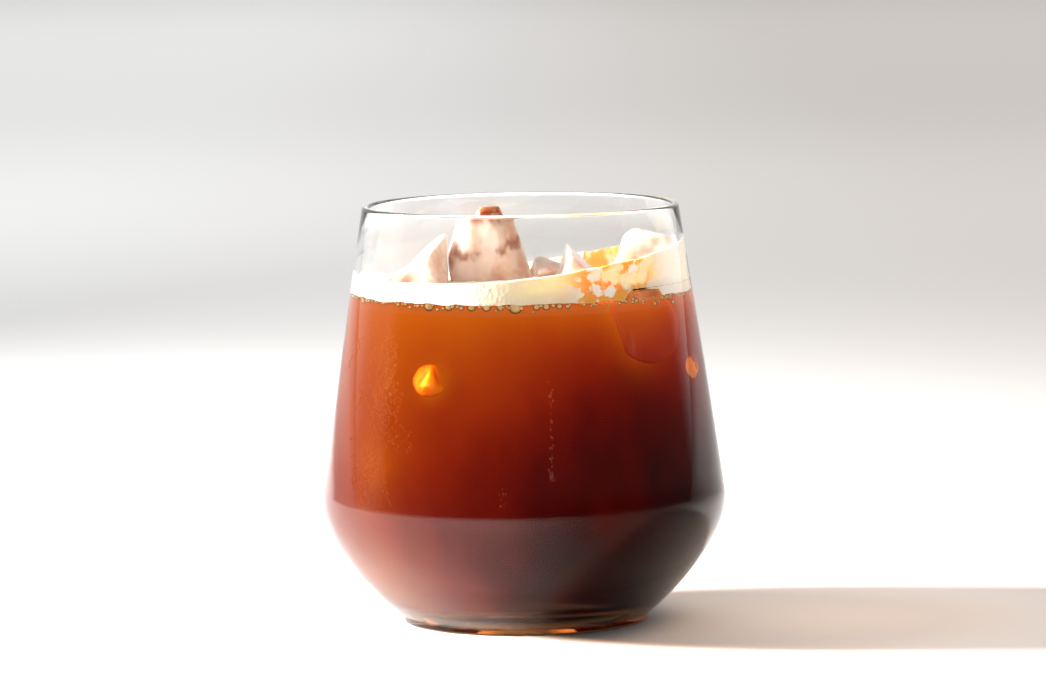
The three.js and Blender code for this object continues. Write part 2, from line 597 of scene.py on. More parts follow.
@dataclass(frozen=True)
class GlassFinish:
    """Clear soda glass with a faint smear of handling; amber painted at the foot, where coffee shines into
    it, and reflections painted dim and brown low on the belly's right and at the foot.
    """

    tint: Colour = (0.995, 1.0, 0.997)
    lamp_tint: Colour = (0.97, 0.97, 0.97)
    painted_foot_amber: Colour = (0.32, 0.09, 0.02)
    foot_edge: Point = (0.0052, 0.0062)
    wetted_sheen: Colour = (0.1, 0.1, 0.1)
    clear_sheen: Colour = (1.0, 1.0, 1.0)
    shaded_reflection_tint: Colour = (0.13, 0.07, 0.04)
    shaded_reflection_across: Point = (-0.018, 0.022)
    shaded_reflection_height: Point = (0.030, 0.034)
    ior: float = 1.5
    smear: Patches = Patches(60.0, 3.0)
    smear_roughness: float = 0.025

    def material(self, wetted: bool = False) -> bpy.types.Material:
        """Make the glass.

        Args:
            wetted: Whether coffee touches it, so that the surface hardly reflects.

        Returns:
            The material.
        """
        material, desk, shader, output = new_material("wetted_glass" if wetted else "clear_glass")
        place = desk.place()
        x, _, z = desk.axes(place)
        foot = desk.span(z, *self.foot_edge, 1.0, 0.0)
        sheen = with_alpha(self.wetted_sheen)
        if not wetted:
            # Painted shade: low on the belly's right side and at the foot the reflection is painted dim and
            # brown, where the mirrored floor lies in shadow.
            low = desk.span(z, *self.shaded_reflection_height, 1.0, 0.0)
            shaded_reflection = desk.math("MAXIMUM", desk.math("MULTIPLY", desk.span(x, *self.shaded_reflection_across), low), foot)
            sheen = desk.blend(shaded_reflection, self.clear_sheen, self.shaded_reflection_tint)
        roughness = desk.math("MULTIPLY", self.smear.mask(desk, place), self.smear_roughness)
        desk.put(shader.inputs["Specular Tint"], sheen)
        # Painted light: the foot is painted amber, where coffee would shine into the glass.
        desk.put(shader.inputs["Base Color"], desk.blend(foot, self.tint, self.painted_foot_amber))
        desk.put(shader.inputs["Roughness"], roughness)
        desk.put(shader.inputs["IOR"], self.ior)
        desk.put(shader.inputs["Transmission Weight"], 1.0)
        let_lamps_through(desk, shader, output, self.lamp_tint)
        return material


@dataclass(frozen=True)
class LiquidFinish:
    """The clear outer millimetre of the coffee, which takes blue and green out of the light."""

    ior: float = 1.333
    colour: Colour = (0.96, 0.62, 0.05)
    density: float = 190.0
    sheen: Colour = (0.05, 0.05, 0.05)
    lamp_tint: Colour = (0.98, 0.95, 0.9)
    ripple: Relief = Relief(90.0, 0.0, 0.02, 0.001)

    def material(self) -> bpy.types.Material:
        """Make the liquid.

        Returns:
            The material.
        """
        material, desk, shader, output = new_material("clear_coffee")
        absorb = desk.add("ShaderNodeVolumeAbsorption", Color=with_alpha(self.colour), Density=self.density)
        desk.put(shader.inputs["Base Color"], (1.0, 1.0, 1.0, 1.0))
        desk.put(shader.inputs["Specular Tint"], with_alpha(self.sheen))
        desk.put(shader.inputs["Roughness"], 0.0)
        desk.put(shader.inputs["IOR"], self.ior)
        desk.put(shader.inputs["Transmission Weight"], 1.0)
        desk.put(shader.inputs["Normal"], self.ripple.normal(desk, desk.place()))
        desk.put(output.inputs["Volume"], absorb.outputs[0])
        let_lamps_through(desk, shader, output, self.lamp_tint)
        return material


@dataclass(frozen=True)
class Glow:
    """A soft bright place painted into the coffee as glow, where light comes through sunk ice, and low on
    the left as a painted reflection of the floor.
    """

    at: tuple[float, float, float]
    radius: float
    colour: Colour

    def light(self, desk: NodeDesk, place: bpy.types.NodeSocket) -> bpy.types.NodeSocket:
        """Give the glow's colour, strongest at its middle.

        Args:
            desk: The material's desk.
            place: The place on the object.

        Returns:
            The colour to add.
        """
        node = desk.tree.nodes.new("ShaderNodeVectorMath")
        node.operation = "DISTANCE"
        desk.put(node.inputs[0], place)
        desk.put(node.inputs[1], self.at)
        ratio = desk.math("DIVIDE", node.outputs["Value"], self.radius)
        share = desk.math("EXPONENT", desk.math("MULTIPLY", desk.math("MULTIPLY", ratio, ratio), -1.0))
        return desk.blend(share, (0.0, 0.0, 0.0), self.colour)


@dataclass(frozen=True)
class CoffeeLight:
    """The colour of coffee in depth, painted as light: orange where the lamp's light enters at the left and
    the top, nearly black after a long way through it.
    """

    level: float
    shallow: Colour = (0.68, 0.150, 0.003)
    fade: Colour = (1.0, 2.4, 1.6)
    left_fade: float = 12.0
    fade_growth: float = 1180.0
    left_edge: float = -0.030
    floor_light: float = 0.6
    floor_light_height: Point = (0.010, 0.029)
    floor_light_across: Point = (-0.026, 0.010)
    lumps: Patches = Patches(70.0, 2.2)
    lump_squeeze: float = 0.6
    least: float = 0.72
    lump_share: float = 0.5
    streaks: Patches = Patches(110.0, 2.0)
    streak_squeeze: float = 0.18
    streak_share: float = 0.16

    def group(self) -> bpy.types.NodeTree:
        """Give the colour as a shared group.

        Returns:
            A group with Vector that puts out Colour and Lumps.
        """
        known = bpy.data.node_groups.get("coffee_light")
        if known is not None:
            return known
        outputs = {"Colour": "Color", "Lumps": "Float"}
        tree = SharedEffects.new("coffee_light", {"Vector": "Vector"}, outputs)
        desk = NodeDesk(tree)
        place = tree.nodes.new("NodeGroupInput").outputs["Vector"]
        x, _, z = desk.axes(place)
        # Painted light: the depth below the surface and the way from the left edge set how far the light
        # has come.
        depth = desk.math("MAXIMUM", desk.math("SUBTRACT", self.level, z), 0.0)
        across = desk.math("MAXIMUM", desk.math("SUBTRACT", x, self.left_edge), 0.0)
        rate = desk.math("MULTIPLY_ADD", across, self.fade_growth, self.left_fade)
        thickness = desk.math("MULTIPLY", depth, rate)
        # Painted floor light: low on the left the coffee is painted lighter, as if lit from the floor.
        lift = desk.span(z, *self.floor_light_height, self.floor_light, 0.0)
        lift = desk.math("MULTIPLY", lift, desk.span(x, *self.floor_light_across, 1.0, 0.0))
        thickness = desk.math("MULTIPLY", thickness, desk.math("SUBTRACT", 1.0, lift))
        lumps = self.lumps.mask(desk, self._tall(desk, place, self.lump_squeeze))
        streaks = self.streaks.mask(desk, self._tall(desk, place, self.streak_squeeze))
        uneven = desk.math("MULTIPLY_ADD", lumps, self.lump_share, self.least)
        uneven = desk.math("ADD", uneven, desk.math("MULTIPLY", streaks, self.streak_share))
        thickness = desk.math("MULTIPLY", thickness, uneven)
        channels = [self._channel(desk, thickness, tone, fade)
                    for tone, fade in zip(self.shallow, self.fade)]
        colour = desk.add("ShaderNodeCombineColor", Red=channels[0], Green=channels[1], Blue=channels[2])
        outward = tree.nodes.new("NodeGroupOutput")
        desk.put(outward.inputs["Colour"], colour.outputs[0])
        desk.put(outward.inputs["Lumps"], lumps)
        return tree

    @staticmethod
    def _tall(desk: NodeDesk, place: bpy.types.NodeSocket, squeeze: float) -> bpy.types.NodeSocket:
        """Stretch a pattern upwards.

        Args:
            desk: The material's desk.
            place: The place on the object.
            squeeze: How much the upright coordinate counts.

        Returns:
            The stretched place.
        """
        mapping = desk.add("ShaderNodeMapping", Vector=place, Scale=(1.0, 1.0, squeeze))
        return mapping.outputs[0]

    @staticmethod
    def _channel(desk: NodeDesk, thickness: bpy.types.NodeSocket, tone: float,
                 fade: float) -> bpy.types.NodeSocket:
        """Fade one colour channel by the thickness that its light has crossed.

        Args:
            desk: The material's desk.
            thickness: The thickness crossed.
            tone: The channel where nothing is crossed.
            fade: How fast the channel fades.

        Returns:
            The channel's socket.
        """
        share = desk.math("EXPONENT", desk.math("MULTIPLY", thickness, -fade))
        return desk.math("MULTIPLY", share, tone)


@dataclass(frozen=True)
class TurbidFinish:
    """The cloudy middle of the coffee, its painted light given out as glow, with the painted glows of sunk
    ice.
    """

    tone: CoffeeLight
    glow_share: float = 0.97
    roughness: Point = (0.45, 0.7)
    glows: tuple[Glow, ...] = ()

    def material(self) -> bpy.types.Material:
        """Make the cloudy coffee.

        Returns:
            The material.
        """
        material, desk, shader, _ = new_material("cloudy_coffee")
        place = desk.place()
        tone = desk.group(self.tone.group(), Vector=place)
        colour = tone.outputs["Colour"]
        for glow in self.glows:
            colour = desk.blend(1.0, colour, glow.light(desk, place), "ADD")
        # Painted light: the coffee's painted colour goes out as glow; the lit base colour keeps only a
        # small share.
        dim = desk.blend(1.0, colour, (1 - self.glow_share,) * 3, "MULTIPLY")
        desk.put(shader.inputs["Base Color"], dim)
        desk.put(shader.inputs["Emission Color"], colour)
        desk.put(shader.inputs["Emission Strength"], self.glow_share)
        roughness = desk.span(tone.outputs["Lumps"], 0.0, 1.0, *self.roughness)
        desk.put(shader.inputs["Roughness"], roughness)
        desk.put(shader.inputs["IOR"], 1.0)
        return material


@dataclass(frozen=True)
class FrothFinish:
    """Pale froth, with painted light: nearly white on the lamp's side, cream in the middle, amber where it
    thins, a painted highlight at the far right, painted glints and a painted glow.
    """

    pale: Colour = (1.0, 0.96, 0.88)
    cream: Colour = (1.0, 0.84, 0.58)
    amber: Colour = (0.90, 0.42, 0.07)
    cream_from: Point = (-0.025, 0.005)
    amber_from: Point = (0.006, 0.015)
    amber_to: Point = (0.024, 0.031)
    patches: Patches = Patches(160.0, 2.6)
    patch_cream: float = 0.25
    patch_amber: Point = (0.05, 0.40)
    glint_patches: Patches = Patches(330.0, 5.0)
    glint_edge: Point = (0.55, 0.9)
    foam: Relief = Relief(420.0, 0.7, 0.4, 0.0004)
    roughness: Point = (0.25, 0.5)
    scatter: Scatter = Scatter(0.35, (1.0, 0.6, 0.35), 0.003)
    glow: float = 0.62
    flat_glow: float = 0.22
    flat_edge: Point = (0.0320, 0.0345)

    def material(self) -> bpy.types.Material:
        """Make the froth.

        Returns:
            The material.
        """
        material, desk, shader, _ = new_material("pale_froth")
        place = desk.place()
        x, y, _ = desk.axes(place)
        patches = self.patches.mask(desk, place)
        painted_highlight_right = desk.span(x, *self.amber_to)
        # Painted light: nearly white on the lamp's side at the left, cream towards the middle.
        colour = desk.blend(desk.span(x, *self.cream_from), self.pale, self.cream)
        colour = desk.blend(desk.math("MULTIPLY", patches, self.patch_cream), colour, self.cream)
        # Painted highlight: white again at the far right, where light gathers on the wall.
        colour = desk.blend(painted_highlight_right, colour, self.pale)
        before_end = desk.math("SUBTRACT", 1.0, painted_highlight_right)
        thin = desk.math("MULTIPLY", desk.span(x, *self.amber_from), before_end)
        thin = desk.math("MULTIPLY", thin, desk.span(patches, *self.patch_amber))
        colour = desk.blend(thin, colour, self.amber)
        # Painted glints: white spots in the amber.
        lit = desk.math("MULTIPLY", thin, desk.span(self.glint_patches.mask(desk, place), *self.glint_edge))
        colour = desk.blend(lit, colour, self.pale)
        # Painted glow, weaker on the flat froth than on the film that clings to the wall.
        reach = desk.math("SQRT", desk.math("MULTIPLY_ADD", x, x, desk.math("MULTIPLY", y, y)))
        glow = desk.span(reach, *self.flat_edge, self.flat_glow, self.glow)
        desk.put(shader.inputs["Base Color"], colour)
        desk.put(shader.inputs["Roughness"], desk.span(patches, 0.0, 1.0, *self.roughness))
        desk.put(shader.inputs["Normal"], self.foam.normal(desk, place))
        desk.put(shader.inputs["Emission Color"], colour)
        desk.put(shader.inputs["Emission Strength"], glow)
        self.scatter.put(desk, shader)
        return material


@dataclass(frozen=True)
class IceFinish:
    """Cloudy broken ice, stained by the coffee near the waterline; brown along the top edge and in a band
    is painted shade, and the ice has a painted glow, taking the coffee's painted light below the surface.
    """

    tone: CoffeeLight
    pale: Colour = (0.86, 0.72, 0.64)
    stain: Colour = (0.56, 0.28, 0.17)
    dark: Colour = (0.30, 0.10, 0.04)
    clouds: Patches = Patches(190.0, 2.4)
    veins: Patches = Patches(300.0, 4.0)
    stain_height: float = 0.0065
    cloud_stain: Point = (0.40, 0.95)
    cloud_stain_share: float = 0.60
    crown_depth: float = 0.0018
    crown_veins: tuple[float, float, float, float] = (0.2, 0.7, 0.55, 1.0)
    band_slope: float = 0.17
    band_waver: float = 0.0016
    band_from: Point = (-0.0014, 0.0004)
    band_to: Point = (0.0006, 0.0024)
    band_clouds: tuple[float, float, float, float] = (0.2, 0.6, 0.15, 0.8)
    sunk_depth: float = 0.0012
    rim_turn: Point = (0.15, 0.70)
    painted_rim_fade: bool = False
    glow: float = 0.14
    sunk_glow: float = 0.85
    roughness: Point = (0.06, 0.22)
    ior: float = 1.31
    transmission: float = 0.1
    wear: Relief = Relief(170.0, 0.25, 0.35, 0.0006)
    scatter: Scatter = Scatter(0.8, (1.0, 0.8, 0.65), 0.006)

    def material(self, name: str, crown: float | None = None,
                 band: float | None = None) -> bpy.types.Material:
        """Make the ice of one chunk.

        Args:
            name: The material's name.
            crown: Height above which the chunk's edge is painted brown as shade, where coffee shows
                through, if it is.
            band: Height of a brown band of painted shade across the chunk, if it has one.

        Returns:
            The material.
        """
        material, desk, shader, _ = new_material(name)
        place = desk.place()
        x, _, z = desk.axes(place)
        clouds = self.clouds.mask(desk, place)
        veins = self.veins.mask(desk, place)
        level = self.tone.level
        low = desk.math("MULTIPLY", desk.span(z, level, level + self.stain_height, 1.0, 0.0), clouds)
        colour = desk.blend(low, self.pale, self.stain)
        warm = desk.math("MULTIPLY", desk.span(clouds, *self.cloud_stain), self.cloud_stain_share)
        colour = desk.blend(warm, colour, self.stain)
        # Painted shade: brown along the top edge, where the coffee below shows through the ice.
        if crown is not None:
            edge = desk.span(z, crown, crown + self.crown_depth)
            edge = desk.math("MULTIPLY", edge, desk.span(veins, *self.crown_veins))
            colour = desk.blend(edge, colour, self.dark)
        # Painted shade: a soft brown band across the chunk.
        if band is not None:
            slanted = desk.math("MULTIPLY_ADD", x, -self.band_slope, z)
            slanted = desk.math("MULTIPLY_ADD", veins, self.band_waver, slanted)
            above = desk.math("SUBTRACT", slanted, band)
            stripe = desk.math("MULTIPLY", desk.span(above, *self.band_from),
                               desk.span(above, *self.band_to, 1.0, 0.0))
            stripe = desk.math("MULTIPLY", stripe, desk.span(clouds, *self.band_clouds))
            colour = desk.blend(stripe, colour, self.dark)
        # The sunk part takes the coffee's painted light; on sunk chunks the edges turned away from view
        # take it instead, a painted fade.
        if self.painted_rim_fade:
            turned = desk.add("ShaderNodeLayerWeight", Blend=0.5).outputs["Facing"]
            sunk = desk.span(turned, *self.rim_turn)
        else:
            sunk = desk.span(z, level - self.sunk_depth, level, 1.0, 0.0)
        colour = desk.blend(sunk, colour, desk.group(self.tone.group(), Vector=place).outputs["Colour"])
        # Painted glow: the ice gives out its own colour, more where it is sunk.
        strength = desk.blend(sunk, (self.glow,) * 3, (self.sunk_glow,) * 3)
        desk.put(shader.inputs["Base Color"], colour)
        desk.put(shader.inputs["Roughness"], desk.span(veins, 0.0, 1.0, *self.roughness))
        desk.put(shader.inputs["IOR"], self.ior)
        desk.put(shader.inputs["Transmission Weight"], self.transmission)
        desk.put(shader.inputs["Normal"], self.wear.normal(desk, place))
        desk.put(shader.inputs["Emission Color"], desk.blend(1.0, colour, strength, "MULTIPLY"))
        desk.put(shader.inputs["Emission Strength"], 1.0)
        self.scatter.put(desk, shader)
        return material


@dataclass(frozen=True)
class DropFinish:
    """Small clear drops and bubbles, tinted by what they sit on, with a painted glow, a painted dark rim
    where they turn away, and for the drops on the glass the coffee's painted light behind them.
    """

    name: str
    tint: Colour
    edge: Colour
    roughness: float
    ior: float
    glow: float
    lit: float = 1.0
    tone: CoffeeLight | None = None
    patches: Patches = Patches(240.0, 2.0)
    patch_shade: float = 0.7
    patch_roughness: float = 0.06
    painted_rim_turn: Point = (0.08, 0.45)

    def material(self) -> bpy.types.Material:
        """Make the drops.

        Returns:
            The material.
        """
        material, desk, shader, _ = new_material(self.name)
        place = desk.place()
        patches = self.patches.mask(desk, place)
        shade = tuple(self.patch_shade * part for part in self.tint)
        colour = desk.blend(patches, self.tint, shade)
        turned = desk.add("ShaderNodeLayerWeight", Blend=0.5).outputs["Facing"]
        # Painted shade: a dark rim where the drop turns away.
        colour = desk.blend(desk.span(turned, *self.painted_rim_turn), colour, self.edge)
        if self.tone is not None:
            # Painted light: the coffee's painted colour, as if seen through the drop.
            behind = desk.group(self.tone.group(), Vector=place).outputs["Colour"]
            colour = desk.blend(1.0, colour, behind, "ADD")
        roughness = desk.span(patches, 0.0, 1.0, self.roughness, self.roughness + self.patch_roughness)
        # Painted glow: the drop gives out its colour; the lit base colour is a small share.
        desk.put(shader.inputs["Base Color"], desk.blend(1.0, colour, (self.lit,) * 3, "MULTIPLY"))
        desk.put(shader.inputs["Emission Color"], colour)
        desk.put(shader.inputs["Emission Strength"], self.glow)
        desk.put(shader.inputs["Roughness"], roughness)
        desk.put(shader.inputs["IOR"], self.ior)
        return material


@dataclass
class Tumbler:
    """The empty glass: a round foot, a wide belly low down and a wall that leans in to the rim."""

    height: float = 0.092
    foot_radius: float = 0.0256
    foot_corner: Point = (0.0272, 0.0014)
    foot_ease: Point = (0.0270, 0.0001)
    punt_radius: float = 0.017
    punt_depth: float = 0.0006
    punt_slope: float = 0.0025
    shoulder_top: float = 0.029
    rim_radius: float = 0.03475
    wall_lean: float = 0.1525
    belly_low: Point = (0.0304, 0.0033)
    belly_high: Point = (0.0460, 0.0182)
    wall: float = 0.0016
    floor_height: float = 0.0060
    floor_radius: float = 0.0255
    inner_low: Point = (0.0315, 0.0064)
    inner_high: Point = (0.0439, 0.0186)
    segments: int = 192
    belly_steps: int = 22
    wall_steps: int = 6
    rim_steps: int = 14
    crease: float = 40.0
    level_face: float = 0.9
    floor_margin: float = 0.0001

    def outer(self, height: float) -> float:
        """Give the outer radius of the leaning wall at a height above the shoulder."""
        return self.rim_radius + self.wall_lean * (self.height - height)

    def inner(self, height: float) -> float:
        """Give the inner radius of the leaning wall at a height above the shoulder."""
        return self.outer(height) - self.wall

    def outer_anywhere(self, height: float) -> float:
        """Give the outer radius at any height above the foot, wall and belly alike.

        Args:
            height: The height above the table.

        Returns:
            The radius there.
        """
        if height >= self.shoulder_top:
            return self.outer(height)
        belly = Curve.cubic(self.foot_corner, self.belly_low, self.belly_high,
                            (self.outer(self.shoulder_top), self.shoulder_top), self.belly_steps)
        return min(belly, key=lambda point: abs(point[1] - height))[0]

    def inside(self, top: float, clearance: float, floor_clearance: float | None = None) -> list[Point]:
        """Outline of the glass's inside up to a height, drawn in by a clearance.

        Args:
            top: Where the outline ends.
            clearance: How far it is drawn in. A negative one reaches into the wall.
            floor_clearance: How far it is drawn in at the floor, where that differs.

        Returns:
            Points from the axis at the floor up to the wall at the top.
        """
        bottom = clearance if floor_clearance is None else floor_clearance
        start = (self.floor_radius - bottom, self.floor_height + bottom)
        low = (self.inner_low[0] - bottom, self.inner_low[1] + bottom)
        high = (self.inner_high[0] - clearance, self.inner_high[1] + clearance)
        end = (self.inner(self.shoulder_top) - clearance, self.shoulder_top)
        points = [(0.0, start[1]), start]
        points += Curve.cubic(start, low, high, end, self.belly_steps)
        for i in range(1, self.wall_steps + 1):
            height = self.shoulder_top + (top - self.shoulder_top) * i / self.wall_steps
            points.append((self.inner(height) - clearance, height))
        return points

    def room(self, clearance: float) -> list[Point]:
        """Outline of the room inside, up to the rim, at a distance from the wall."""
        top = self.height - self.wall
        return self.inside(top, clearance) + [(0.0, top)]

    def outline(self) -> list[Point]:
        """Outline of the whole glass from the middle of the foot round to the middle of the floor.

        Returns:
            The points.
        """
        lip = self.wall / 2
        rim_centre = self.height - lip
        points = [(0.0, self.punt_depth), (self.punt_radius - self.punt_slope, self.punt_depth)]
        points += [(self.punt_radius, 0.0), (self.foot_radius, 0.0)]
        points += [self.foot_ease, self.foot_corner]
        shoulder = (self.outer(self.shoulder_top), self.shoulder_top)
        points += Curve.cubic(self.foot_corner, self.belly_low, self.belly_high, shoulder, self.belly_steps)
        points += Curve.arc((self.outer(rim_centre) - lip, rim_centre), lip, 0.0, 180.0,
                            self.rim_steps)
        points += self.inside(rim_centre, 0.0)[:1:-1][1:]
        points += [(self.floor_radius, self.floor_height), (0.0, self.floor_height)]
        return points

    def build(self, level: float) -> bpy.types.Object:
        """Make the glass and dress it.

        Args:
            level: How high the coffee wets its inside.

        Returns:
            The glass.
        """
        piece = Workbench.spin("tumbler", self.outline(), self.segments)
        Workbench.smooth(piece, self.crease)
        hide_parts("glass")
        Workbench.finish(piece, GlassFinish().material(), Slot.GLASS)
        piece.data.materials.append(GlassFinish().material(wetted=True))
        for face in piece.data.polygons:
            faces_in = face.normal.x * face.center.x + face.normal.y * face.center.y < 0
            is_floor = face.normal.z > self.level_face
            above_foot = face.center.z > self.floor_height - self.floor_margin
            if above_foot and face.center.z < level and (faces_in or is_floor):
                face.material_index = 1
        return piece


@dataclass(frozen=True)
class Chunk:
    """A chunk of broken ice.

    Each broken face is the way it faces, as azimuth from +X towards +Y and elevation in degrees,
    and its distance from the chunk's middle in millimetres.
    """

    name: str
    at: tuple[float, float, float]
    radii: tuple[float, float, float]
    faces: tuple[tuple[float, float, float], ...]
    crown: float | None = None
    band: float | None = None
    segments: int = 40
    rings: int = 24

    def body(self, name: str, grow: float = 0.0) -> bpy.types.Object:
        """Model the chunk as a worn lump with flat broken faces.

        Args:
            name: The piece's name.
            grow: How far it stands out all round, in metres.

        Returns:
            The chunk.
        """
        Workbench.clear_selection()
        scale = tuple(radius + grow for radius in self.radii)
        bpy.ops.mesh.primitive_uv_sphere_add(segments=self.segments, ring_count=self.rings, radius=1.0,
                                             location=self.at, scale=scale)
        piece = Workbench.take(name)
        for azimuth, elevation, distance in self.faces:
            turn, level = math.radians(azimuth), math.radians(elevation)
            flat = math.cos(level)
            outward = Vector((flat * math.cos(turn), flat * math.sin(turn), math.sin(level)))
            at = Vector(self.at) + outward * (distance / 1000 + grow)
            Workbench.bisect(piece, at, outward)
        Workbench.close_up(piece)
        return piece


@dataclass
class IceHeap:
    """The chunks of ice that stand out of the coffee."""

    level: float
    swell: float = 0.0004
    voxel: float = 0.0006
    edge_wear: float = 0.0007
    waves: float = 0.0009
    wave_size: float = 0.006
    grain: float = 0.00025
    grain_size: float = 0.0016
    wave_middle: float = 0.6
    sharp_edge: float = 22.0
    wear_steps: int = 2
    melt: float = 0.5
    melt_rounds: int = 2
    wall_gap: float = 0.0006
    crease: float = 50.0
    amber_chunk: str = "ice_front"
    amber_pale: Colour = (1.0, 0.74, 0.42)
    amber_stain: Colour = (0.80, 0.40, 0.10)
    chunks: tuple[Chunk, ...] = (
        Chunk("ice_block", (-0.007, 0.0175, 0.0715), (0.013, 0.0085, 0.0175),
              ((60, 84, 14.2), (2, 22, 9.7), (181, 24, 11.2), (266, 6, 6.2), (318, 24, 9.2),
               (88, 2, 6.0), (228, 16, 9.6), (40, -78, 13.0), (183, -8, 8.0)), 0.0834, 0.0816),
        Chunk("ice_peak", (-0.007, 0.0288, 0.075), (0.0085, 0.0055, 0.015),
              ((270, 10, 4.6), (8, 20, 6.6), (172, 20, 6.8), (80, 78, 13.6), (60, 50, 11.6),
               (150, 56, 12.6), (350, -12, 7.0), (190, -8, 7.2), (268, -20, 4.8), (60, -80, 12.0)), 0.0862),
        Chunk("ice_slope", (-0.022, 0.013, 0.0675), (0.0115, 0.011, 0.018),
              ((188, 49, 9.9), (186, 61, 10.2), (3, 3, 5.8), (262, 14, 7.4), (100, 10, 9.0),
               (30, 70, 16.0), (226, 30, 10.0), (0, -84, 12.0), (318, 30, 9.8))),
        Chunk("ice_point", (0.0125, 0.012, 0.0722), (0.009, 0.009, 0.012),
              ((186, 22, 4.3), (358, 55, 5.3), (270, 34, 8.2), (86, 26, 8.0), (182, -12, 6.6),
               (4, -6, 6.0), (300, 5, 7.6), (20, -82, 10.4))),
        Chunk("ice_wall", (0.029, 0.005, 0.074), (0.0105, 0.013, 0.014),
              ((176, 24, 8.9), (265, 46, 10.2), (60, 62, 12.0), (186, 62, 9.5), (270, 4, 10.6),
               (92, 8, 11.2), (182, -14, 8.6), (10, -82, 12.2), (325, 55, 11.0), (40, 80, 9.6))),
        Chunk("ice_front", (0.0215, -0.020, 0.0675), (0.012, 0.0105, 0.0115),
              ((250, 72, 9.3), (180, 20, 8.8), (20, 34, 9.8), (85, 12, 7.6), (268, -6, 9.6),
               (140, 52, 9.6), (10, -80, 9.4), (330, 60, 10.0))),
        Chunk("ice_back", (0.0068, 0.028, 0.0685), (0.009, 0.0065, 0.0095),
              ((268, 50, 7.6), (196, 4, 4.0), (5, 20, 5.6), (20, 74, 7.9), (270, -10, 5.4),
               (80, -76, 8.0))),
    )

    def cutters(self, grow: float, tumbler: Tumbler | None = None,
                film: float = 0.0) -> list[bpy.types.Object]:
        """Make plain bodies of all the chunks, to cut other pieces with.

        Args:
            grow: How far they stand out all round.
            tumbler: The glass whose wall they keep clear of, if they do.
            film: How far they keep from that wall.

        Returns:
            The bodies.
        """
        bodies = [chunk.body("cutter", grow) for chunk in self.chunks]
        if tumbler is not None:
            for body in bodies:
                Workbench.keep_within(body, tumbler.room(film))
        return bodies

    def weather(self, piece: bpy.types.Object) -> None:
        """Round a chunk's edges and melt its faces uneven.

        Args:
            piece: The chunk.
        """
        Workbench.edit(piece, "EDGE")
        bpy.ops.mesh.select_all(action="DESELECT")
        bpy.ops.mesh.edges_select_sharp(sharpness=math.radians(self.sharp_edge))
        bpy.ops.mesh.bevel(offset=self.edge_wear, segments=self.wear_steps, affect="EDGES",
                           clamp_overlap=True)
        bpy.ops.object.mode_set(mode="OBJECT")
        remesh = piece.modifiers.new("even_faces", "REMESH")
        remesh.mode = "VOXEL"
        remesh.voxel_size = self.voxel
        for name, strength, size in (("waves", self.waves, self.wave_size),
                                     ("grain", self.grain, self.grain_size)):
            texture = bpy.data.textures.get(name) or bpy.data.textures.new(name, "CLOUDS")
            texture.noise_scale = size
            texture.noise_depth = 1
            displace = piece.modifiers.new(name, "DISPLACE")
            displace.texture = texture
            displace.texture_coords = "LOCAL"
            displace.strength = strength
            displace.mid_level = self.wave_middle
        soften = piece.modifiers.new("soften", "SMOOTH")
        soften.factor = self.melt
        soften.iterations = self.melt_rounds
        Workbench.apply_modifiers(piece)

    def build(self, tumbler: Tumbler) -> list[bpy.types.Object]:
        """Make the chunks and dress them.

        Args:
            tumbler: The glass that they stand in.

        Returns:
            The chunks.
        """
        clear = IceFinish(CoffeeLight(self.level))
        amber = IceFinish(CoffeeLight(self.level), pale=self.amber_pale, stain=self.amber_stain)
        pieces = []
        for chunk in self.chunks:
            finish = amber if chunk.name == self.amber_chunk else clear
            piece = chunk.body(chunk.name + "_worn", self.swell)
            self.weather(piece)
            Workbench.keep_within(piece, tumbler.room(self.wall_gap))
            Workbench.smooth(piece, self.crease)
            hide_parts(chunk.name)
            material = finish.material(chunk.name, chunk.crown, chunk.band)
            pieces.append(Workbench.finish(piece, material, Slot.ICE))
        return pieces


